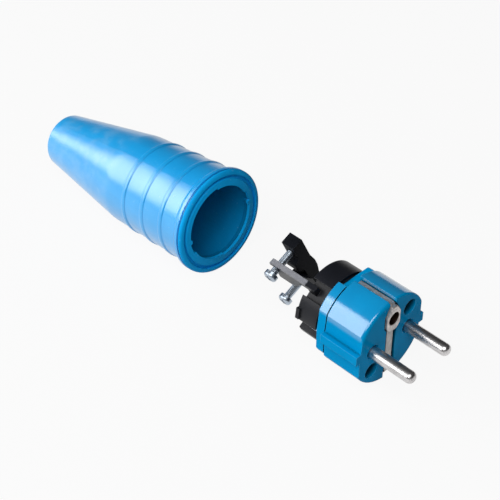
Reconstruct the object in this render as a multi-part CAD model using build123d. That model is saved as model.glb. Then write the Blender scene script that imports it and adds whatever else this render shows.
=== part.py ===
"""Earthed mains plug with a rubber hood, shown taken apart.

The contact insert and the hood lie in line on the bench. Millimetres, +X runs along the plug
towards the pins, +Y along the row of the two pins, +Z up. The insert is drawn about its own axis
with the contact face at X = 0; the hood is drawn about its own axis with the mouth at X = 0.
"""

import os
from math import atan2, cos, degrees, hypot, radians, sin, tan

from build123d import *

# Contacts
pin_dia = 4.8
pin_length = 19.0
pin_pitch = 19.0
pin_tip_round = 2.0
pin_shank_dia = 4.4
pin_shank_set_back = 0.3
pin_mouth_clear = 0.6
pin_mouth_depth = 0.5
earth_hole_dia = 5.0
earth_offset = 10.5

# Front cover
body_r = 18.5
sector_inset = 0.3
flat_cut = 2.1
flat_lean = 7.0
cover_length = 17.2
cover_back_edge = 0.35
sector_round = 1.4
lobe_round = 0.7
guide_width = 3.9
guide_proud = 1.8
guide_offset = 0.9
strip_groove_depth = 2.6
face_groove_depth = 1.4

# Earth bracket
strip_width = 2.6
face_strip_width = 3.4
strip_thick = 0.9
strip_end_gap = 1.0
eye_width = 7.0
eye_foot = 5.6
eye_top_lap = 0.3
eye_proud = 1.5
eye_countersink = 0.4
sleeve_wall = 0.7
sleeve_depth = 14.0

# Cover screws
cover_screw_angle = 43.7
cover_bore_dia = 6.5
cover_bore_wall = 1.9
cover_bore_depth = 9.0
cover_screw_dia = 3.0

# Pin carrier behind the cover
carrier_inset = 0.4
carrier_thick = 4.2
carrier_notch = 5.0
carrier_notch_wall = 0.8
seam_width = 0.45
seam_depth = 0.9

# Rear body
rear_step = 3.2
rear_length = 10.4
rear_wall = 2.0
neck_width = 0.9
neck_depth = 1.0
wire_hole_dia = 14.0
window_angle = 130.5
window_width = 7.2
window_depth = 3.7
lug_angle = -8.0
lug_width = 4.6
lug_length = 1.6
lug_proud = 0.7
boss_r = 3.1

# Terminals
pillar_r = 3.0
pillar_length = 7.0
wire_bore_dia = 3.2
terminal_turn = 35.0
terminal_screw_dia = 3.0
terminal_head_dia = 4.6
terminal_head_height = 1.8
earth_block = 5.6
earth_block_length = 7.8
earth_block_r = 8.3
earth_screw_at = 5.1
earth_link_thick = 1.0
earth_link_width = 4.0

# Cord clamp, turned about the plug's axis; "across" runs along the screws, "along" runs screw to screw
clamp_turn = 25.0
clamp_x = -49.8
clamp_pitch = 18.6
clamp_screw_dia = 2.9
clamp_head_dia = 5.4
clamp_head_height = 2.3
clamp_head_seat = -6.3
clamp_screw_length = 15.6
tongue_far = -2.4
tongue_thick = 2.2
tongue_top = 14.6
tongue_rail = 2.2
tongue_entry = 3.8
tongue_tip = 1.4
tongue_pad_foot = 5.5
tongue_pad_length = 13.0
tongue_pad_slope = 5.0
ear_across = 2.0
ear_foot = -12.8
ear_head = -4.6
ear_width = 6.4
saddle_width = 6.0
saddle_half = 14.2
saddle_inner = 4.5
saddle_outer = 9.5
saddle_hump = 0.9
saddle_hump_at = -3.7
saddle_hump_half = 6.5
saddle_hump_round = 6.0
saddle_nose = 2.5
saddle_nose_at = 2.8
saddle_nose_half = 3.8
saddle_nose_slope = 1.6
saddle_nose_round = 1.2

# Hood
hood_length = 95.2
hood_end_r = 11.5
hood_shoulder_r = 19.3
hood_shoulder_at = 47.4
hood_shoulder_round = 24.0
hood_body_r = 20.65
flange_r = 22.1
flange_length = 3.4
flare_length = 2.0
flange_round = 1.2
rim_groove_at = 1.5
rim_groove_width = 0.6
rim_groove_depth = 0.5
bead_width = 2.0
mouth_groove_width = 1.3
mouth_groove_depth = 1.2
mouth_groove_round = 0.6
lip_length = 3.0
lip_step = 0.7
lip_lead = 15.0
collar_step = 1.9
collar_depth = 10.0
hood_wall = 2.6
nozzle_length = 9.0
nozzle_bore_dia = 11.0
hood_end_round = 1.6
ring_first = 13.6
ring_pitch = 11.1
ring_count = 3
ring_width = 2.2
ring_proud = 0.45

# How the two halves lie
hood_gap = 36.1
hood_offset = -0.85
hood_turn = 2.0
hood_roll = 23.0

# Clearances
pin_clear = 0.1
screw_clear = 0.15
fit_clear = 0.3
key_clear = 0.4
strip_clear = 0.25
face_strip_clear = 1.0
eye_clear = 0.5

# Stations along the insert, worked out from the sizes above
cover_back = -cover_length
carrier_back = cover_back - carrier_thick
rear_back = carrier_back - rear_length
terminal_x = carrier_back - pillar_length / 2
earth_screw_x = carrier_back - earth_screw_at
earth_angle = window_angle + 180
flat_half = body_r - flat_cut
strip_floor = body_r - strip_groove_depth
rear_r = body_r - rear_step
pocket_r = pin_pitch / 2 + pillar_r + fit_clear
window_floor = rear_r - window_depth
cover_screw_r = body_r - cover_bore_wall - cover_bore_dia / 2
cover_screw_y = cover_screw_r * cos(radians(cover_screw_angle))
cover_screw_z = cover_screw_r * sin(radians(cover_screw_angle))
lip_r = rear_r + fit_clear
collar_r = lip_r + collar_step
tongue_near = tongue_far - tongue_thick


def rod(radius, x0, x1, y=0.0, z=0.0):
    """A round bar along X between two stations."""
    return extrude(Plane.YZ.offset(x0) * Pos(y, z) * Circle(radius), x1 - x0)


def block(x0, x1, y0, y1, z0, z1):
    """A box given by its limits."""
    return Pos((x0 + x1) / 2, (y0 + y1) / 2, (z0 + z1) / 2) * Box(x1 - x0, y1 - y0, z1 - z0)


def spoke(angle, x, r0, r1, shape, y=0.0, z=0.0):
    """A shape pushed outwards from (y, z) at an angle from +Y, between two distances."""
    out = Vector(0, cos(radians(angle)), sin(radians(angle)))
    plane = Plane(origin=Vector(x, y, z) + out * r0, x_dir=(1, 0, 0), z_dir=out)
    return extrude(plane * shape, r1 - r0)


def both_ways(shape):
    """The shape and its copy turned half round the plug's axis."""
    return [shape, Rot(180, 0, 0) * shape]


def pin_places():
    """The two pins' places across the face, left then right."""
    return [-pin_pitch / 2, pin_pitch / 2]


def round_corner(face, x, y, radius):
    """A flat face with its corner nearest to (x, y) rounded."""
    return fillet(face.vertices().sort_by_distance((x, y, 0))[:1], radius)


def cross_head(radius, height, shaft_radius, length):
    """A pan-head screw along +Z: the head's seat is at Z = 0, the shaft runs upwards."""
    head = Pos(0, 0, -height / 2) * Cylinder(radius, height)
    head = fillet(head.edges().group_by(Axis.Z)[0], height * 0.45)
    slot = radius * 0.26
    for turn in (0, 90):
        head -= Pos(0, 0, -height) * Rot(0, 0, turn) * Box(radius * 1.3, slot, height * 0.9)
    shaft = Pos(0, 0, length / 2) * Cylinder(shaft_radius, length)
    shaft = chamfer(shaft.edges().group_by(Axis.Z)[-1], shaft_radius * 0.3)
    return head + shaft


# Outline across the cover: round, with two flats that lean in above and below the guide ribs
def drum_outline(inset, lobes):
    lean = body_r * tan(radians(flat_lean))
    half = flat_half - inset
    corners = [(-half, 0), (lean - half, body_r), (half, body_r), (half, 0), (half - lean, -body_r)]
    flats = make_face(Polyline(*corners, (-half, -body_r), close=True))
    outline = Sketch() + Circle(body_r - sector_inset - inset)
    if lobes:
        for side in (1, -1):
            quarter = Pos(side * body_r / 2, side * body_r / 2) * Rectangle(body_r, body_r)
            outline += Circle(body_r) & quarter
    return outline & flats


# Eye of the earth bracket, seen on the face; a margin widens it for the recess in the cover
def eye_outline(margin):
    foot = earth_offset - eye_foot - margin
    top = strip_floor + eye_top_lap + margin
    waist = eye_width / 2 + margin
    narrow = face_strip_width / 2 + margin
    crown = face_strip_width * 0.36 + margin
    half = [(narrow, foot), (waist, earth_offset - eye_foot * 0.6), (waist, earth_offset + eye_foot * 0.36)]
    right = half + [(crown, top)]
    left = [(-y, z) for y, z in reversed(right)]
    return make_face(Polyline(*right, *left, close=True))


# Front cover: a drum with two flats, a guide rib on each flat and a groove for the earth strip
def make_front_cover():
    cover = extrude(Plane.YZ.offset(cover_back) * drum_outline(0, True), cover_length)
    half = strip_width / 2 + strip_clear
    for groove in both_ways(block(cover_back, 0, -half, half, strip_floor, body_r + 1)):
        cover -= groove
    face_edges = cover.faces().sort_by(Axis.X)[-1].edges().filter_by(GeomType.CIRCLE)
    sectors = [e for e in face_edges if e.center().Y * e.center().Z < 0]
    lobes = [e for e in face_edges if e.center().Y * e.center().Z > 0]
    cover = fillet(sectors, sector_round)
    lobes = [e for e in cover.edges() if any((e.center() - lobe.center()).length < 0.01 for lobe in lobes)]
    cover = fillet(lobes, lobe_round)
    cover = chamfer(cover.faces().sort_by(Axis.X)[0].edges(), cover_back_edge)
    rib = block(
        cover_back,
        0,
        flat_half - 1,
        flat_half + guide_proud,
        -guide_offset - guide_width / 2,
        -guide_offset + guide_width / 2,
    )
    for guide in both_ways(rib):
        cover += guide
    face_half = face_strip_width / 2 + face_strip_clear
    cover -= block(-face_groove_depth, 1, -face_half, face_half, -body_r, earth_offset)
    cover -= block(-face_groove_depth, 1, -half, half, earth_offset, body_r)
    cover -= extrude(Plane.YZ.offset(-face_groove_depth) * eye_outline(eye_clear), face_groove_depth + 1)
    for y in pin_places():
        cover -= rod(pin_dia / 2 + pin_clear, cover_back, 1, y)
        cover -= rod(pin_dia / 2 + pin_mouth_clear, -pin_mouth_depth, 1, y)
    for bore in both_ways(rod(cover_bore_dia / 2, -cover_bore_depth, 1, cover_screw_y, cover_screw_z)):
        cover -= bore
    for hole in both_ways(
        rod(cover_screw_dia / 2 + screw_clear, cover_back, 0, cover_screw_y, cover_screw_z)
    ):
        cover -= hole
    sleeve_r = earth_hole_dia / 2 + sleeve_wall + fit_clear
    cover -= rod(sleeve_r, cover_back, 0, 0, earth_offset)
    return cover


# Pin carrier: the plate behind the cover, of the same outline, with a seam in front and strip notches
def make_pin_carrier():
    seam_back = cover_back - seam_width
    plate = drum_outline(carrier_inset, False)
    carrier = extrude(Plane.YZ.offset(carrier_back) * plate, seam_back - carrier_back)
    carrier = chamfer(carrier.edges().group_by(Axis.X)[0], 0.3)
    step = drum_outline(carrier_inset + seam_depth, False)
    carrier += extrude(Plane.YZ.offset(seam_back) * step, seam_width)
    for y in pin_places():
        carrier -= rod(pin_dia / 2 + pin_clear, carrier_back, cover_back, y)
    for hole in both_ways(
        rod(cover_screw_dia / 2 + screw_clear, carrier_back, cover_back, cover_screw_y, cover_screw_z)
    ):
        carrier -= hole
    tail_r = earth_hole_dia / 2 + screw_clear
    carrier -= rod(tail_r, carrier_back, cover_back, 0, earth_offset)
    notch_floor = earth_offset + tail_r + carrier_notch_wall
    for notch in both_ways(block(carrier_back, cover_back, -carrier_notch, body_r, notch_floor, body_r)):
        carrier -= notch
    return carrier


# Rear body: a short black drum over the terminals, its windows and the tongue of the cord clamp
def make_rear_body():
    neck = carrier_back - neck_width
    body = rod(rear_r, rear_back, neck)
    body = fillet(body.edges().group_by(Axis.X)[0], 0.6)
    body += rod(rear_r - neck_depth, neck, carrier_back)
    body -= rod(pocket_r, rear_back + rear_wall, carrier_back)
    body -= rod(wire_hole_dia / 2, rear_back, carrier_back)
    boss = rod(boss_r, rear_back + 0.6, carrier_back, cover_screw_y, cover_screw_z)
    boss &= rod(rear_r - neck_depth, rear_back, carrier_back)
    for post in both_ways(boss):
        body += post
    lug = spoke(
        lug_angle,
        rear_back + lug_length / 2,
        rear_r - rear_wall,
        rear_r + lug_proud,
        Rectangle(lug_length, lug_width),
    )
    for key in both_ways(lug):
        body += key
    open_back = rear_back - 1
    slot = Rectangle(neck - open_back, window_width)
    for opening in both_ways(spoke(window_angle, (neck + open_back) / 2, window_floor, rear_r + 2, slot)):
        body -= opening
    floor_front = carrier_back - earth_link_thick - fit_clear
    floor = Rectangle(floor_front - rear_back, window_width + 2 * rear_wall)
    middle = (floor_front + rear_back) / 2
    body += spoke(window_angle, middle, window_floor - rear_wall, window_floor, floor)
    head_space = terminal_head_dia / 2 + key_clear
    notch_front = terminal_x + head_space
    notch = Rectangle(notch_front - open_back, 2 * head_space)
    for y, turn in zip(pin_places(), (180 + terminal_turn, terminal_turn)):
        body -= spoke(turn, (notch_front + open_back) / 2, 0, rear_r, notch, y)
    hole_r = cover_screw_dia / 2 + screw_clear
    hole = rod(hole_r, rear_back + rear_wall, carrier_back, cover_screw_y, cover_screw_z)
    for screw_hole in both_ways(hole):
        body -= screw_hole
    body += Rot(clamp_turn, 0, 0) * clamp_tongue()
    return body


# The clamp's fixed side: a rail and pad for the upper screw, a web and an ear for the lower one
def clamp_tongue():
    rail_back = clamp_x - tongue_tip
    pad_back = clamp_x + clamp_screw_dia * 0.3
    pad_front = pad_back + tongue_pad_length
    rail_front = rear_back + tongue_entry
    rail_foot = tongue_top - tongue_rail
    rail = block(rail_back, rail_front, tongue_near, tongue_far, rail_foot, tongue_top)
    rail = chamfer(rail.edges().group_by(Axis.X)[0].sort_by(Axis.Z)[-1], tongue_rail * 0.4)
    outline = Polyline(
        (pad_back, tongue_top - 0.1),
        (pad_front, tongue_top - 0.1),
        (pad_front, tongue_top - tongue_rail * 1.5),
        (pad_front - tongue_pad_slope, tongue_pad_foot),
        (pad_back, tongue_pad_foot),
        close=True,
    )
    pad = extrude(Plane.XZ.offset(-tongue_far) * make_face(outline), tongue_thick)
    root = block(rear_back, rail_front, tongue_near, tongue_far, window_floor - rear_wall, rail_foot)
    hole_r = clamp_screw_dia / 2 + screw_clear
    reach = saddle_half
    upper_hole = Pos(clamp_x, 0, clamp_pitch / 2) * Rot(90, 0, 0) * Cylinder(hole_r, 2 * reach)
    lower_hole = Pos(clamp_x, 0, -clamp_pitch / 2) * Rot(90, 0, 0) * Cylinder(hole_r, 2 * reach)
    ear_back = clamp_x - ear_width / 2
    web_front = clamp_x + ear_width
    ear = block(ear_back, web_front, ear_across, ear_across + tongue_thick, ear_foot, ear_head)
    web_line = Polyline(
        (tongue_near, tongue_pad_foot),
        (tongue_far, tongue_pad_foot + tongue_thick),
        (ear_across + tongue_thick, ear_head),
        (ear_across, ear_head - tongue_thick),
        close=True,
    )
    web = extrude(Plane.YZ.offset(pad_back) * make_face(web_line), web_front - pad_back)
    return rail + root + pad - upper_hole + web + ear - lower_hole


# Saddle: the loose wavy bar that both clamp screws pull onto the cord
def make_cord_saddle():
    nose_tip = saddle_inner - saddle_nose
    nose_top = saddle_nose_at + saddle_nose_half
    nose_end = saddle_nose_at - saddle_nose_half
    hump_tip = saddle_outer + saddle_hump
    nose = [
        (saddle_inner, nose_top),
        (nose_tip, nose_top - saddle_nose_slope),
        (nose_tip, nose_end + saddle_nose_slope),
        (saddle_inner, nose_end),
    ]
    hump = [
        (saddle_outer, saddle_hump_at - saddle_hump_half),
        (hump_tip, saddle_hump_at - saddle_hump_half * 0.3),
        (hump_tip, saddle_hump_at + saddle_hump_half * 0.3),
        (saddle_outer, saddle_hump_at + saddle_hump_half),
    ]
    foot = [(saddle_inner, -saddle_half), (saddle_outer, -saddle_half)]
    top = [(saddle_outer, saddle_half), (saddle_inner, saddle_half)]
    side = make_face(Polyline(*nose, *foot, *hump, *top, close=True))
    for corners, radius in ((nose, saddle_nose_round), (hump, saddle_hump_round)):
        for corner in corners:
            side = round_corner(side, *corner, radius)
    saddle = extrude(Plane.YZ.offset(clamp_x - saddle_width / 2) * side, saddle_width)
    for along in (clamp_pitch / 2, -clamp_pitch / 2):
        hole = Cylinder(clamp_screw_dia / 2 + screw_clear, 4 * saddle_outer)
        saddle -= Pos(clamp_x, 0, along) * Rot(90, 0, 0) * hole
    return Rot(clamp_turn, 0, 0) * saddle


def make_clamp_screw(along):
    screw = cross_head(clamp_head_dia / 2, clamp_head_height, clamp_screw_dia / 2, clamp_screw_length)
    return Rot(clamp_turn, 0, 0) * Pos(clamp_x, clamp_head_seat, along) * Rot(-90, 0, 0) * screw


# Contact pin with a thinner shank inside the plug and the pillar terminal at its back end
def make_pin(y, turn):
    pin = rod(pin_dia / 2, -pin_shank_set_back, pin_length, y)
    pin = fillet(pin.edges().group_by(Axis.X)[-1], pin_tip_round)
    pin += rod(pin_shank_dia / 2, carrier_back, -pin_shank_set_back, y)
    pin += rod(pillar_r, carrier_back - pillar_length, carrier_back, y)
    pin -= rod(wire_bore_dia / 2, carrier_back - pillar_length, carrier_back - 1, y)
    pin -= spoke(turn, terminal_x, 0, pillar_r + 1, Circle(terminal_screw_dia / 2 + screw_clear), y)
    return pin


def make_terminal_screw(turn, x, y, z, seat):
    """A terminal screw that points at (x, y, z), with its head's seat at a distance outwards."""
    length = seat - 0.6
    screw = cross_head(terminal_head_dia / 2, terminal_head_height, terminal_screw_dia / 2, length)
    out = Vector(0, cos(radians(turn)), sin(radians(turn)))
    place = Plane(origin=Vector(x, y, z) + out * seat, x_dir=(1, 0, 0), z_dir=-out)
    return place * screw


# Earth bracket: one bent strip over the face and along both sides, with the eye for the socket's pin
def make_earth_bracket():
    half = strip_width / 2
    back = cover_back + strip_end_gap
    floor = -face_groove_depth
    face = floor + strip_thick
    reach = strip_floor + strip_thick
    side = block(back, face, -half, half, strip_floor, reach)
    bracket = block(floor, face, -half, half, -reach, reach)
    for leg in both_ways(side):
        bracket += leg
    bends = [
        e
        for e in bracket.edges().filter_by(Axis.Y)
        if e.center().X > floor + strip_thick / 2 and abs(e.center().Z) > strip_floor + strip_thick / 2
    ]
    bracket = fillet(bends, strip_thick * 0.7)
    face_half = face_strip_width / 2
    bracket += block(floor, face, -face_half, face_half, -strip_floor + strip_thick, earth_offset)
    plate = extrude(Plane.YZ.offset(floor) * eye_outline(0), strip_thick + eye_proud)
    plate = fillet(plate.edges().filter_by(Axis.X), 0.8)
    plate = chamfer(plate.edges().group_by(Axis.X)[-1], 0.3)
    front = face + eye_proud
    bracket += plate
    bracket -= rod(earth_hole_dia / 2, floor - 1, front + 1, 0, earth_offset)
    sink = Pos(front - eye_countersink / 2, 0, earth_offset) * Rot(0, 90, 0)
    bracket -= sink * Cone(earth_hole_dia / 2, earth_hole_dia / 2 + eye_countersink, eye_countersink)
    return bracket


# Earth sleeve: the brass tube behind the eye, with a tail through the carrier
def make_earth_sleeve():
    outer = earth_hole_dia / 2 + sleeve_wall
    front = -face_groove_depth
    sleeve = rod(outer, front - sleeve_depth, front, 0, earth_offset)
    sleeve -= rod(earth_hole_dia / 2, front - sleeve_depth + 1.0, front, 0, earth_offset)
    tail = rod(earth_hole_dia / 2, carrier_back, front - sleeve_depth, 0, earth_offset)
    return sleeve + tail


# Earth terminal: a block under the window opposite the tongue, linked to the sleeve's tail by a flat bar
def earth_block_place():
    angle = radians(earth_angle)
    return earth_block_r * cos(angle), earth_block_r * sin(angle)


def make_earth_terminal():
    y, z = earth_block_place()
    half = earth_block / 2
    back = carrier_back - earth_block_length
    body = block(back, carrier_back, earth_block_r - half, earth_block_r + half, -half, half)
    body = Rot(earth_angle, 0, 0) * body
    reach = hypot(y, z - earth_offset)
    turn = degrees(atan2(earth_offset - z, -y))
    link = SlotCenterToCenter(reach, earth_link_width)
    place = Plane.YZ.offset(carrier_back - earth_link_thick) * Pos(y / 2, (z + earth_offset) / 2)
    body += extrude(place * Rot(0, 0, turn) * link, earth_link_thick)
    body -= rod(wire_bore_dia / 2, back, carrier_back - 1.5, y, z)
    hole = Circle(terminal_screw_dia / 2 + screw_clear)
    body -= spoke(earth_angle, earth_screw_x, earth_block_r, earth_block_r + earth_block, hole)
    return body


def make_cover_screw():
    length = cover_length - cover_bore_depth + carrier_thick + rear_length - rear_wall - 0.6
    head_r = cover_bore_dia / 2 - fit_clear
    screw = cross_head(head_r, clamp_head_height, cover_screw_dia / 2, length)
    return Pos(-cover_bore_depth, cover_screw_y, cover_screw_z) * Rot(0, -90, 0) * screw


# Hood: one turned rubber shell with a flanged, keyed mouth and a long nozzle
def hood_outer_r(depth):
    """Outer radius of the hood's wall at a depth behind the mouth."""
    if depth < hood_shoulder_at:
        start = flange_length + flare_length
        share = (depth - start) / (hood_shoulder_at - start)
        return hood_body_r + (hood_shoulder_r - hood_body_r) * share
    share = (depth - hood_shoulder_at) / (hood_length - hood_shoulder_at)
    return hood_shoulder_r + (hood_end_r - hood_shoulder_r) * share


def make_hood():
    nozzle_at = hood_length - nozzle_length
    bead_in = flange_r - bead_width
    groove_in = bead_in - mouth_groove_width
    profile = Polyline(
        (0, lip_r + lip_step),
        (0, groove_in),
        (-mouth_groove_depth, groove_in),
        (-mouth_groove_depth, bead_in),
        (0, bead_in),
        (0, flange_r),
        (-rim_groove_at, flange_r),
        (-rim_groove_at, flange_r - rim_groove_depth),
        (-rim_groove_at - rim_groove_width, flange_r - rim_groove_depth),
        (-rim_groove_at - rim_groove_width, flange_r),
        (-flange_length, flange_r),
        (-flange_length - flare_length, hood_body_r),
        (-hood_shoulder_at, hood_shoulder_r),
        (-hood_length, hood_end_r),
        (-hood_length, nozzle_bore_dia / 2),
        (-nozzle_at, nozzle_bore_dia / 2),
        (-nozzle_at, hood_outer_r(nozzle_at) - hood_wall),
        (-hood_shoulder_at, hood_shoulder_r - hood_wall),
        (-collar_depth, collar_r),
        (-lip_length, collar_r),
        (-lip_length, lip_r + lip_step),
        close=True,
    )
    land = groove_in - lip_r - lip_step
    wall = make_face(profile)
    wall = round_corner(wall, 0, flange_r, flange_round)
    wall = round_corner(wall, -flange_length, flange_r, flange_round * 0.4)
    wall = round_corner(wall, -hood_shoulder_at, hood_shoulder_r, hood_shoulder_round)
    wall = round_corner(wall, -hood_length, hood_end_r, hood_end_round)
    wall = round_corner(wall, 0, groove_in, min(mouth_groove_round, land * 0.45))
    hood = revolve(Plane.XZ * wall, Axis.X)
    for k in range(ring_count):
        depth = ring_first + k * ring_pitch
        ridge = Pos(-depth, hood_outer_r(depth)) * Ellipse(ring_width / 2, ring_proud)
        hood += revolve(Plane.XZ * ridge, Axis.X)
    # The inner lip is deeper over one quarter on each side, and has a slot for each key lug
    lip = rod(lip_r + lip_step, -lip_length, 0) - rod(lip_r, -lip_length, 0)
    quarter = Rot(lug_angle - lip_lead, 0, 0) * block(-lip_length, 0, 0, collar_r, 0, collar_r)
    for step in both_ways(lip & quarter):
        hood += step
    notch = Rectangle(lip_length, lug_width + 2 * key_clear)
    slot = spoke(lug_angle, -lip_length / 2, lip_r - lip_step, rear_r + lug_proud + key_clear, notch)
    for key in both_ways(slot):
        hood -= key
    return hood


insert_parts = {
    "front_cover": make_front_cover(),
    "pin_carrier": make_pin_carrier(),
    "rear_body": make_rear_body(),
    "cord_saddle": make_cord_saddle(),
    "clamp_screw_upper": make_clamp_screw(clamp_pitch / 2),
    "clamp_screw_lower": make_clamp_screw(-clamp_pitch / 2),
    "pin_left": make_pin(-pin_pitch / 2, 180 + terminal_turn),
    "pin_right": make_pin(pin_pitch / 2, terminal_turn),
    "terminal_screw_left": make_terminal_screw(
        180 + terminal_turn, terminal_x, -pin_pitch / 2, 0, pillar_r + fit_clear
    ),
    "terminal_screw_right": make_terminal_screw(
        terminal_turn, terminal_x, pin_pitch / 2, 0, pillar_r + fit_clear
    ),
    "earth_bracket": make_earth_bracket(),
    "earth_sleeve": make_earth_sleeve(),
    "earth_terminal": make_earth_terminal(),
    "earth_terminal_screw": make_terminal_screw(
        earth_angle, earth_screw_x, *earth_block_place(), earth_block / 2 + fit_clear
    ),
    "cover_screw_upper": make_cover_screw(),
    "cover_screw_lower": Rot(180, 0, 0) * make_cover_screw(),
}

# The insert rests on its cover; the hood rests on its flange and its shoulder, so its mouth tilts up
mouth_x = clamp_x - tongue_tip - hood_gap
tilt = degrees(atan2(flange_r - hood_shoulder_r, hood_shoulder_at - flange_length))
placed = {name: Pos(0, 0, body_r) * part for name, part in insert_parts.items()}
hood = Rot(0, 0, hood_turn) * Rot(0, -tilt, 0) * Rot(hood_roll, 0, 0) * make_hood()
placed["hood"] = Pos(mouth_x, hood_offset, -hood.bounding_box().min.Z) * hood

# The frame's origin is the middle of the whole part's footprint, on the bench
bounds = Compound(children=[part.moved(Location()) for part in placed.values()]).bounding_box()
to_frame = Pos(-bounds.center().X, -bounds.center().Y, -bounds.min.Z)

os.makedirs("parts", exist_ok=True)
for name, part in placed.items():
    export_step(to_frame * part, f"parts/{name}.step")
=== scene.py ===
# %% [markdown]
# # A rubber mains plug, taken apart
# The solids come from CAD and stay as they are: Blender gives them their finishes, adds the
# screw threads that are too fine for the solids, and sets up the light and the camera.
# Lengths are in metres, as Blender has them; places on the object are written in millimetres and
# multiplied by MM. The frame is the CAD frame: +X runs towards the pins, +Z is up, and the bench
# is at Z = 0.

# %% Load the solids
from math import cos, pi, radians, sin

import bmesh
import bpy
from mathutils import Matrix, Vector


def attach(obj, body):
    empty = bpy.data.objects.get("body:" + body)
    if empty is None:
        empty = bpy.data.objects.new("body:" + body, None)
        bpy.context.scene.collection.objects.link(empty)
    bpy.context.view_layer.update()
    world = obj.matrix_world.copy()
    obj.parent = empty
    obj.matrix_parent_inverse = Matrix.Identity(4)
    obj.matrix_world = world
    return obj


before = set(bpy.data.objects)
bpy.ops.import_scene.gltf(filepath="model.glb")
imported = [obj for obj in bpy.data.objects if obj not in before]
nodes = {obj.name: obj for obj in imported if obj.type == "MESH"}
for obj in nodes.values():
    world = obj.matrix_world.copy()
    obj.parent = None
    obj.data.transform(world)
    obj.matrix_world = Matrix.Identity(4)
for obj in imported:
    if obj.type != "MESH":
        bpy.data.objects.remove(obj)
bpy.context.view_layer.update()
MM = 0.001
insert_axis = (0, 0.927, 18.5)
earth_eye = (0, 0.927, 29.0)
hood_mouth = (-5.306, 0.077, 22.361)
hood_lie = (0, -radians(3.641), radians(2))
clamp_middle = (32.19, 0.927, 18.5)
clamp_turn = radians(25)
cover_bore_turn = radians(43.7)
half_pin_pitch = 9.5 * MM
cover_bore_out = 13.35 * MM
upright = (0, 0, 0)
print("loaded", len(nodes), "solids:", ", ".join(sorted(nodes)))

# %% [markdown]
# ## Camera
# The photograph was taken from the pins' side, about 40 degrees above the bench. A camera has
# three axes of its own: it looks along its -Z, its X points right and its Y points up. They are
# written here as three vectors, because a matrix made of them needs no guess about the order of
# rotations. The picture leans by less than a degree, and the lens is a short telephoto.

# %% Camera
azimuth, elevation, lean = radians(46.22), radians(40.33), radians(-0.74)
back = Vector((sin(azimuth) * cos(elevation), -cos(azimuth) * cos(elevation), sin(elevation)))
level = Vector((cos(azimuth), sin(azimuth), 0))
above = back.cross(level)
right = level * cos(lean) + above * sin(lean)
up = above * cos(lean) - level * sin(lean)

lens = bpy.data.cameras.new("camera")
lens.lens = 87.57
lens.sensor_width = 36
lens.clip_end = 20
camera = bpy.data.objects.new("camera", lens)
bpy.context.scene.collection.objects.link(camera)
camera.matrix_world = Matrix.Translation(Vector((271.3, -249.3, 323.9)) * MM) @ Matrix(
    (right, up, back)
).transposed().to_4x4()
bpy.context.scene.camera = camera
print("camera at", [round(v, 3) for v in camera.location], "lens", lens.lens)

# %% [markdown]
# ## Shader sums
# A finish is a small program: it takes patterns and mixes them into colour, roughness and bump.
# Wiring each sum by hand hides what it says, so a socket is wrapped in a class with Python's
# operators, and an expression such as 0.3 + 0.1 * grain adds the Math nodes by itself. Any
# other node comes from the one method node(), which sets the node up first and then its sockets.

# %% Shader sums
class Wire:
    """A socket that can be used in a Python expression."""

    def __init__(self, tree, socket):
        self.tree = tree
        self.socket = socket

    def sum(self, operation, first, second):
        made = self.tree.nodes.new("ShaderNodeMath")
        made.operation = operation
        for place, value in enumerate((first, second)):
            if isinstance(value, Wire):
                self.tree.links.new(value.socket, made.inputs[place])
            else:
                made.inputs[place].default_value = value
        return Wire(self.tree, made.outputs[0])

    def __add__(self, other):
        return self.sum("ADD", self, other)

    __radd__ = __add__

    def __sub__(self, other):
        return self.sum("SUBTRACT", self, other)

    def __rsub__(self, other):
        return self.sum("SUBTRACT", other, self)

    def __mul__(self, other):
        return self.sum("MULTIPLY", self, other)

    __rmul__ = __mul__

    def __pow__(self, other):
        return self.sum("POWER", self, other)


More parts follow.
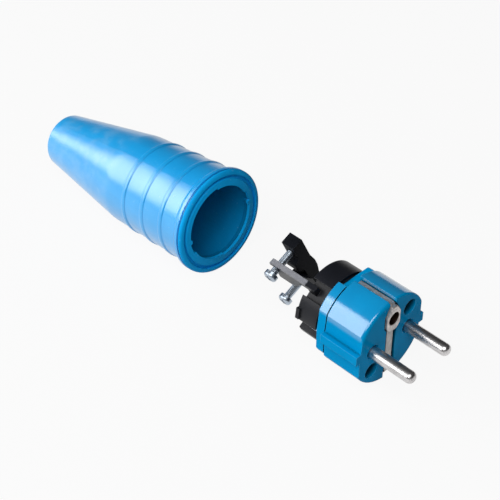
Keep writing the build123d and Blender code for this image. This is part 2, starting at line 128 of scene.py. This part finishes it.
class Finish:
    """A material under construction: its nodes, and the one shader they feed."""

    def __init__(self, name):
        self.material = bpy.data.materials.new(name)
        self.material.use_nodes = True
        self.tree = self.material.node_tree
        self.shader = self.tree.nodes["Principled BSDF"]
        self.place = self.node("ShaderNodeTexCoord", {}, {}, "Object")

    def node(self, kind, settings, sockets, output=0):
        """One node of any kind: settings first, then values or links for its sockets."""
        made = self.tree.nodes.new(kind)
        for key, value in settings.items():
            if key == "stops":
                ramp = made.color_ramp
                while len(ramp.elements) < len(value):
                    ramp.elements.new(0.5)
                for element, (position, colour) in zip(ramp.elements, value):
                    element.position = position
                    element.color = colour
            else:
                setattr(made, key, value)
        for key, value in sockets.items():
            if isinstance(value, Wire):
                self.tree.links.new(value.socket, made.inputs[key])
            else:
                made.inputs[key].default_value = value
        return Wire(self.tree, made.outputs[output])

    def noise(self, size, detail=2.0, stretch=(1, 1, 1)):
        """A cloudy pattern from 0 to 1, whose blotches are about one size across, in metres."""
        spot = self.node("ShaderNodeMapping", {}, {"Vector": self.place, "Scale": stretch})
        return self.node(
            "ShaderNodeTexNoise", {}, {"Vector": spot, "Scale": 1 / size, "Detail": detail}
        )

    def band(self, value, low, high):
        """0 below one limit, 1 above the other, and a smooth change between them."""
        sockets = {"Value": value, "From Min": low, "From Max": high}
        return self.node("ShaderNodeMapRange", {"interpolation_type": "SMOOTHSTEP"}, sockets)

    def mix(self, share, first, second):
        """Two colours, mixed by a share from 0 to 1."""
        settings = {"data_type": "RGBA"}
        return self.node("ShaderNodeMix", settings, {0: share, 6: first, 7: second}, 2)

    def about(self, origin, turn):
        """The place along the three axes of a turned frame; the origin is in millimetres."""
        sockets = {"Vector": self.place, "Location": Vector(origin) * MM, "Rotation": turn}
        spot = self.node("ShaderNodeMapping", {"vector_type": "TEXTURE"}, sockets)
        parts = self.node("ShaderNodeSeparateXYZ", {}, {"Vector": spot})
        return [Wire(self.tree, end) for end in parts.socket.node.outputs]

    def bump(self, height, depth, under=None):
        """A bumpy surface normal from a height from 0 to 1 and its depth in metres."""
        sockets = {"Height": height, "Strength": 1.0, "Distance": depth}
        if under is not None:
            sockets["Normal"] = under
        return self.node("ShaderNodeBump", {}, sockets)

    def wear(self, **sockets):
        """Sets the shader's sockets; _ in a name stands for a space."""
        for key, value in sockets.items():
            socket = self.shader.inputs[key.replace("_", " ")]
            if isinstance(value, Wire):
                self.tree.links.new(value.socket, socket)
            else:
                socket.default_value = value
        return self.material


print("shader tools ready")

# %% [markdown]
# ## Blue rubber of the hood
# Towards the narrow end, pale blotches in the colour are a painted sheen.
# The hood is moulded in soft rubber. Its sheen is broad: a strip of window light lies along it
# with soft edges. Close up, the skin has a fine pebble from the mould, a few cloudy patches where
# it has been handled, and dull flecks of dust. A plain roughness would look like paint, so the
# clouds move both the colour and the roughness, and the pebble goes into the bump. The flat rim
# of the mouth shades as if it sloped outwards a little, as it looks in the photograph: that is a
# height that falls with the distance from the hood's own axis, so it goes into the bump too.
# The rim is also duller than the rest, without the coat that carries the sheen.
# Just inside the mouth the wall is painted darker and has no coat. That stands for the deep shade
# in the photograph, because the lamps here reach further in; the rubber itself is one colour.

# %% Blue rubber
def rubber_finish(name, colour, deep):
    finish = Finish(name)
    clouds = finish.noise(0.018, 3.0)
    pebble = finish.noise(0.0007, 2.0)
    streaks = finish.noise(0.007, 3.0, (0.45, 1, 1))
    # Pale blotches on the taper: a painted sheen.
    painted_sheen = finish.band(finish.noise(0.005, 4.0), 0.42, 0.66)
    along, across, high = finish.about(hood_mouth, hood_lie)
    radius = (across * across + high * high) ** 0.5
    taper = 1 - finish.band(along, -0.052, -0.040)
    rim = finish.band(along, -0.0016, -0.0012)
    slope = rim * radius * -0.3
    cave = (1 - finish.band(radius, 0.0172, 0.0180)) * finish.band(along, -0.034, -0.010)
    flecks = finish.band(finish.noise(0.0011, 1.0), 0.70, 0.76)
    tone = finish.mix(finish.band(clouds, 0.3, 0.7), deep, colour)
    tone = finish.mix(cave * (1 - rim) * 0.75, tone, (0.000, 0.080, 0.190, 1))
    # Dust flecks, and the painted sheen on the taper, lighten the colour.
    dust_and_sheen = finish.mix(flecks * 0.10 + painted_sheen * taper * 0.10, tone, (0.55, 0.72, 0.85, 1))
    mottled = finish.bump(pebble, 0.00003, finish.bump(streaks, 0.00025))
    return finish.wear(
        Base_Color=dust_and_sheen,
        Roughness=0.30 + 0.08 * clouds + 0.08 * flecks + 0.10 * painted_sheen + 0.40 * rim,
        Specular_IOR_Level=0.12,
        Coat_Weight=(0.7 + 0.5 * clouds) * (1 - rim) * (1 - cave),
        Coat_Roughness=0.28,
        Coat_IOR=2.05,
        Normal=finish.bump(slope, 1.0, mottled),
    )


hood_rubber = rubber_finish("hood_rubber", (0.000, 0.360, 0.800, 1), (0.000, 0.330, 0.745, 1))
print("made", hood_rubber.name)

# %% [markdown]
# ## Blue plastic of the front
# The insert's front is a hard moulding of nearly the same blue. It is smoother than the rubber, so
# the window's reflection has a clear edge on it. Moulded plastic is never optically flat: a slow
# waviness bends that edge, and the fine grain of the tool breaks it up. Three marks in the colour
# are painted light and shade. Corners and narrow gaps get painted shade, which ambient occlusion
# finds over a short and a long reach, and the two deep screw bores get painted shade by their
# place.
# Sharp edges get a painted highlight: a bevel node bends the normal there, so it disagrees with the
# plain one. The upper shoulders alone have a glossy coat, because the photograph shows clear
# highlights only there.

# %% Blue plastic
def moulded_finish(name, colour, deep, pit, pale, rough, gloss, shine=0.0, draft=0.0):
    finish = Finish(name)
    waves = finish.noise(0.009, 1.0)
    grain = finish.noise(0.0004, 2.0)
    scuffs = finish.band(finish.noise(0.0016, 3.0, (0.25, 1, 1)), 0.64, 0.74)
    tone = finish.mix(finish.band(waves, 0.3, 0.7), deep, colour)
    near, wide = (
        finish.node("ShaderNodeAmbientOcclusion", {"samples": 8}, {"Distance": reach}, "AO")
        for reach in (0.0022, 0.006)
    )
    length, sideways, high = finish.about(insert_axis, upright)
    radius = (sideways * sideways + high * high) ** 0.5
    beside_pin = (sideways * sideways) ** 0.5 - half_pin_pitch
    mouth = 1 - finish.band((beside_pin * beside_pin + high * high) ** 0.5, 0.0030, 0.0033)
    _, outward, beside = finish.about(insert_axis, (cover_bore_turn, 0, 0))
    bore = (outward * outward) ** 0.5 - cover_bore_out
    deep_bore = 1 - finish.band((bore * bore + beside * beside) ** 0.5, 0.00330, 0.00345)
    deep_bore = deep_bore * (1 - finish.band(length, 0.0790, 0.0825))
    # Painted shade: corners and gaps found by ambient occlusion, and the two deep bores by place.
    air = finish.band(near, 0.30, 0.80) * finish.band(wide, 0.05, 0.80) + mouth - deep_bore
    worn = finish.band(radius, 0.0172, 0.0178) * (1 - finish.band(length, 0.0809, 0.0814))
    worn = worn * finish.band(high, 0.0050, 0.0070)
    edges = finish.node("ShaderNodeBevel", {"samples": 6}, {"Radius": 0.00035})
    flat = finish.node("ShaderNodeNewGeometry", {}, {}, "Normal")
    product = {"operation": "DOT_PRODUCT"}
    agree = finish.node("ShaderNodeVectorMath", product, {0: edges, 1: flat}, "Value")
    # Painted edge highlight: pale where the bevel's normal turns away from the plain one.
    painted_edge_highlight = finish.band(1 - agree, 0.02, 0.20) * finish.band(near, 0.60, 0.85)
    shaded = finish.mix(air, pit, finish.mix(painted_edge_highlight * 0.4, tone, pale))
    _, across, along = finish.about(insert_axis, (clamp_turn, 0, 0))
    rail = finish.band(along, 0.0140, 0.0143) * (1 - finish.band(length, 0.0490, 0.0495)) * draft
    shaded = finish.mix(rail * 4, shaded, (0.160, 0.165, 0.190, 1))
    slow = finish.bump(rail * across, 1.0, finish.bump(waves, 0.00005, edges))
    polish = worn * shine + rail * 4 if shine or draft else 0.0
    return finish.wear(
        Base_Color=shaded,
        Roughness=rough + 0.05 * grain + 0.08 * scuffs,
        Specular_IOR_Level=gloss,
        Coat_Weight=polish,
        Coat_Roughness=rough,
        Coat_IOR=1.95,
        Normal=finish.bump(grain, 0.000012, slow),
    )


front_plastic = moulded_finish(
    "front_plastic",
    (0.000, 0.285, 0.600, 1),
    (0.000, 0.262, 0.560, 1),
    (0.000, 0.035, 0.065, 1),
    (0.180, 0.600, 0.850, 1),
    rough=0.14,
    gloss=0.01,
    shine=1.0,
)
print("made", front_plastic.name)

# %% [markdown]
# ## Black plastic
# The rear body and the cord clamp are black, in the same kind of moulding, but with a duller skin
# that catches a gray sheen on the side towards the light. A mould's sides lean a little, so that
# the part lets go of it: the top of the clamp's rail shades with such a lean and has a coat. It is
# also painted gray, which stands for the bright sheen on it in the photograph. The loose saddle is
# rougher still.

# %% Black plastic
black_plastic = moulded_finish(
    "black_plastic",
    (0.009, 0.010, 0.014, 1),
    (0.006, 0.007, 0.010, 1),
    (0.002, 0.002, 0.003, 1),
    (0.060, 0.065, 0.075, 1),
    rough=0.34,
    gloss=0.25,
    draft=0.25,
)
saddle_plastic = moulded_finish(
    "saddle_plastic",
    (0.008, 0.009, 0.012, 1),
    (0.005, 0.006, 0.008, 1),
    (0.002, 0.002, 0.003, 1),
    (0.060, 0.065, 0.075, 1),
    rough=0.50,
    gloss=0.03,
)
print("made", black_plastic.name, saddle_plastic.name)

# %% [markdown]
# ## Nickel, zinc and brass
# A plated part shows its making: a pin is cut from drawn rod and a strip is rolled, so very fine
# lines run along both. They come from one noise, stretched along the piece. Zinc has a bluish
# passivation that drifts in hue, and bare brass is tarnished in patches. The sleeve in the earth
# socket is bronze, darkened far beyond it as painted shade for the depth of the socket. Little
# light gets into the strip's eye, so its bore is darkened by its place. The part of the strip in
# the groove
# below it has painted shade: more of the tarnish colour is mixed in there.

# %% Metals
def plated_finish(name, colour, tarnish, rough, stretch, patch, hollow=0.0):
    finish = Finish(name)
    lines = finish.noise(0.0006, 2.0, stretch)
    spots = finish.noise(patch, 3.0)
    stain = 0.5 * finish.band(spots, 0.35, 0.75) + 0.5 * finish.band(lines, 0.40, 0.62)
    _, across, high = finish.about(earth_eye, upright)
    # Painted shade on the part of the strip in the groove below the eye.
    painted_groove_shade = hollow * (1 - finish.band(high, -0.0065, -0.0045))
    tone = finish.mix(stain + painted_groove_shade * 0.6, colour, tarnish)
    bore = (across * across + high * high) ** 0.5
    inside = hollow * (1 - finish.band(bore, 0.00262, 0.00278))
    tone = finish.mix(inside, tone, (0.040, 0.024, 0.018, 1))
    return finish.wear(
        Base_Color=tone,
        Metallic=1.0,
        Roughness=rough + 0.08 * lines + 0.06 * spots,
        Normal=finish.bump(lines, 0.000001),
    )


nickel = plated_finish(
    "nickel", (0.72, 0.70, 0.70, 1), (0.36, 0.355, 0.355, 1), 0.24, (0.015, 1.4, 1.4), 0.004
)
strip_nickel = plated_finish(
    "strip_nickel", (0.80, 0.76, 0.74, 1), (0.36, 0.35, 0.345, 1), 0.50, (0.3, 4, 0.3), 0.003, 1.0
)
zinc_steel = plated_finish(
    "zinc_steel", (0.50, 0.57, 0.65, 1), (0.36, 0.41, 0.47, 1), 0.28, (1, 1, 1), 0.0025
)
brass = plated_finish(
    "brass", (0.76, 0.55, 0.24, 1), (0.45, 0.29, 0.12, 1), 0.24, (3, 0.5, 0.5), 0.003
)
# The sleeve's very dark bronze stands for painted shade deep in the socket.
bronze = plated_finish(
    "bronze", (0.120, 0.070, 0.045, 1), (0.050, 0.032, 0.026, 1), 0.34, (3, 0.5, 0.5), 0.002
)
print("made", nickel.name, strip_nickel.name, zinc_steel.name, brass.name, bronze.name)

# %% [markdown]
# ## Dressing the solids
# Each solid already has one material slot from the record. Its finish is put in that slot, and
# the mesh stays as it is.

# %% Dress the solids
dress = {
    hood_rubber: ["hood"],
    front_plastic: ["front_cover", "pin_carrier"],
    black_plastic: ["rear_body"],
    saddle_plastic: ["cord_saddle"],
    nickel: ["pin_left", "pin_right"],
    strip_nickel: ["earth_bracket"],
    brass: ["earth_terminal"],
    bronze: ["earth_sleeve"],
    zinc_steel: [name for name in nodes if "screw" in name],
}
for finish, names in dress.items():
    for name in names:
        nodes[name].data.materials.clear()
        nodes[name].data.materials.append(finish)
print("dressed", sum(len(names) for names in dress.values()), "of", len(nodes))

# %% [markdown]
# ## Threads of the clamp screws
# The solids have plain shafts, because a thread half a millimetre apart is too fine for them. It is
# a ridge with a three-cornered section, drawn once and spun round the shaft while it climbs by one
# pitch per turn, as a lathe cuts it. Its foot sits just inside the shaft, and its crest stays
# inside the clearance of the holes.

# %% Threads
def thread(name, offset):
    axis = Vector((0, cos(clamp_turn), sin(clamp_turn)))
    side = Vector((0, -sin(clamp_turn), cos(clamp_turn)))
    foot = Vector(clamp_middle) + side * offset - axis * 5.7
    pitch, turns, steps = 0.5, 28, 18
    coil = bmesh.new()
    section = ((1.40, -0.22), (1.55, 0.0), (1.40, 0.22))
    corners = [coil.verts.new((foot + side * out + axis * rise) * MM) for out, rise in section]
    lines = [coil.edges.new((corners[place - 1], corners[place])) for place in range(3)]
    bmesh.ops.spin(
        coil,
        geom=corners + lines,
        cent=foot * MM,
        axis=axis,
        dvec=axis * pitch * MM / steps,
        angle=turns * 2 * pi,
        steps=turns * steps,
    )
    bmesh.ops.holes_fill(coil, edges=coil.edges, sides=3)
    bmesh.ops.recalc_face_normals(coil, faces=coil.faces)
    mesh = bpy.data.meshes.new(name)
    coil.to_mesh(mesh)
    coil.free()
    mesh.materials.append(zinc_steel)
    ridge = bpy.data.objects.new(name, mesh)
    bpy.context.scene.collection.objects.link(ridge)
    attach(ridge, "root")
    return ridge


for name, offset in (("thread_upper", 9.3), ("thread_lower", -9.3)):
    print("made", name, len(thread(name, offset).data.polygons), "faces")

# %% [markdown]
# ## Studio
# The object lies on a wide pale bench. Two upright panels on the left stand for a window with a
# bar in it, and a larger softbox stands in front. The bench takes a faint shadow of the object,
# but to the camera and in glossy surfaces it also glows, so that it reads as white.

# %% Bench
def bench_finish():
    finish = Finish("bench_white")
    finish.wear(Base_Color=(0.50, 0.50, 0.50, 1), Roughness=0.9, Specular_IOR_Level=0.1)
    path = finish.node("ShaderNodeLightPath", {}, {}, "Is Camera Ray")
    ends = path.socket.node.outputs
    mirrored = Wire(finish.tree, ends["Is Glossy Ray"])
    through = Wire(finish.tree, ends["Is Transmission Ray"])
    share = (path + mirrored + through) * 0.92
    glow = finish.node("ShaderNodeEmission", {}, {"Color": (1, 1, 1, 1), "Strength": 1.0})
    both = finish.node("ShaderNodeMixShader", {}, {0: share, 2: glow})
    finish.tree.links.new(finish.shader.outputs[0], both.socket.node.inputs[1])
    output = finish.tree.nodes["Material Output"]
    finish.tree.links.new(both.socket, output.inputs["Surface"])
    return finish.material


bench_mesh = bpy.data.meshes.new("bench")
sheet = bmesh.new()
bmesh.ops.create_grid(sheet, x_segments=1, y_segments=1, size=6)
sheet.to_mesh(bench_mesh)
sheet.free()
bench = bpy.data.objects.new("bench", bench_mesh)
bench_mesh.materials.append(bench_finish())
bpy.context.scene.collection.objects.link(bench)
print("bench", bench.dimensions[:])

# %% Light
world = bpy.data.worlds.new("room")
bpy.context.scene.world = world
world.use_nodes = True
world.node_tree.nodes["Background"].inputs["Color"].default_value = (1, 1, 1, 1)
world.node_tree.nodes["Background"].inputs["Strength"].default_value = 0.06


def panel(name, direction, distance, width, height, power):
    """A soft light panel that faces the middle of the object."""
    lamp = bpy.data.lights.new(name, "AREA")
    lamp.shape = "RECTANGLE"
    lamp.size = width
    lamp.size_y = height
    lamp.energy = power
    turn, rise = radians(direction[0]), radians(direction[1])
    away = Vector((sin(turn) * cos(rise), -cos(turn) * cos(rise), sin(rise)))
    light = bpy.data.objects.new(name, lamp)
    light.location = Vector((0, 0, 0.02)) + away * distance
    light.rotation_euler = away.to_track_quat("Z", "Y").to_euler()
    bpy.context.scene.collection.objects.link(light)
    return light


panel("window left", (-57, 26), 0.8, 0.50, 0.54, 3.3)
panel("window right", (-25, 29), 0.8, 0.30, 0.64, 2.2)
panel("softbox", (33, 53), 1.0, 0.7, 0.7, 7.2)

# %% [markdown]
# ## Finish
# The colours are shown as they are written. The dressed model may not be larger than the solids.

# %% Finish
bpy.context.scene.view_settings.view_transform = "Standard"
